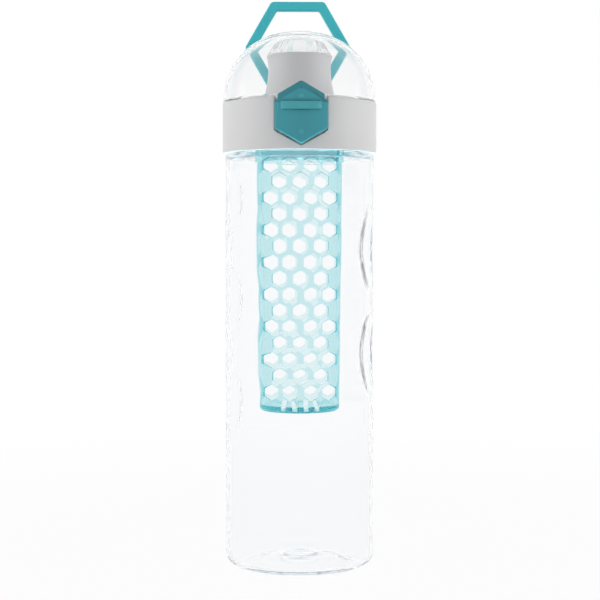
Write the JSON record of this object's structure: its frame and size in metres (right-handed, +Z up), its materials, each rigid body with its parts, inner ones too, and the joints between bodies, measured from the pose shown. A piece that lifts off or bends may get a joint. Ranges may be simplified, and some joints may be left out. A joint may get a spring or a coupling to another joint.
{
  "type": "fruit infuser water bottle",
  "caption": "Clear water bottle with thumb dimples, honeycomb infuser basket, screw lid with spout, domed flip cover on a sprung hinge, push-button latch with lock slider, and carry loop.",
  "frame": {"origin": "centre of the foot ring, on the surface the bottle stands on", "axes": "+Z up along the bottle's axis, -Y towards the latch button, +Y towards the hinge and carry loop"},
  "size_m": [0.0704, 0.0814, 0.2643],
  "materials": {
    "clear_body": "clear polished",
    "clear_cover": "clear polished",
    "teal_clear": "tinted, clear",
    "teal_plastic": "satin",
    "grey_plastic": "satin",
    "spout_silicone": "frosted clear",
    "seal_silicone": "matte",
    "steel": "drawn wire and pin"
  },
  "bodies": {
    "bottle": {"bottle_body": "clear_body"},
    "infuser": {"infuser_basket": "teal_clear"},
    "seal": {"rim_seal": "seal_silicone"},
    "lid_ring": {"lid_gasket": "seal_silicone"},
    "lid": {"lid_body": "grey_plastic", "lid_collar": "grey_plastic", "mouthpiece": "spout_silicone", "hinge_pin": "steel", "cover_spring": "steel", "latch_pin": "steel", "latch_spring": "steel"},
    "cover": {"flip_cover": "clear_cover", "mouth_pad": "spout_silicone"},
    "loop": {"carry_loop": "teal_plastic"},
    "latch": {"latch_button": "teal_plastic"},
    "lock": {"lock_slider": "teal_plastic"}
  },
  "joints": [
    {"name": "infuser_lift", "type": "slide", "parent": "bottle", "child": "infuser", "axis": [0, 0, 1], "range_m": [0, 0.14]},
    {"name": "lid_off", "type": "slide", "parent": "infuser", "child": "seal", "axis": [0, 0, 1], "range_m": [0, 0.06]},
    {"name": "lid_rise", "type": "slide", "parent": "seal", "child": "lid_ring", "axis": [0, 0, 1], "range_m": [0, 0.0061]},
    {"name": "lid_turn", "type": "hinge", "parent": "lid_ring", "child": "lid", "pos_m": [0, 0, 0.2], "axis": [0, 0, 1], "range_deg": [0, 540]},
    {"name": "cover_open", "type": "hinge", "parent": "lid", "child": "cover", "pos_m": [0, 0.0385, 0.216], "axis": [-1, 0, 0], "range_deg": [0, 105], "deforming": ["cover_spring"]},
    {"name": "loop_swing", "type": "hinge", "parent": "cover", "child": "loop", "pos_m": [0, 0.0385, 0.216], "axis": [-1, 0, 0], "range_deg": [0, 70]},
    {"name": "latch_press", "type": "hinge", "parent": "lid", "child": "latch", "pos_m": [0, -0.0324, 0.2004], "axis": [1, 0, 0], "range_deg": [0, 7], "stiffness_Nm_per_rad": 0.4, "deforming": ["latch_spring"]},
    {"name": "lock_slide", "type": "slide", "parent": "latch", "child": "lock", "axis": [0, 0, -1], "range_m": [0, 0.002]}
  ],
  "couplings": [
    {"joint": "lid_rise", "follows": "lid_turn", "m_per_rad": 0.00063662}
  ]
}
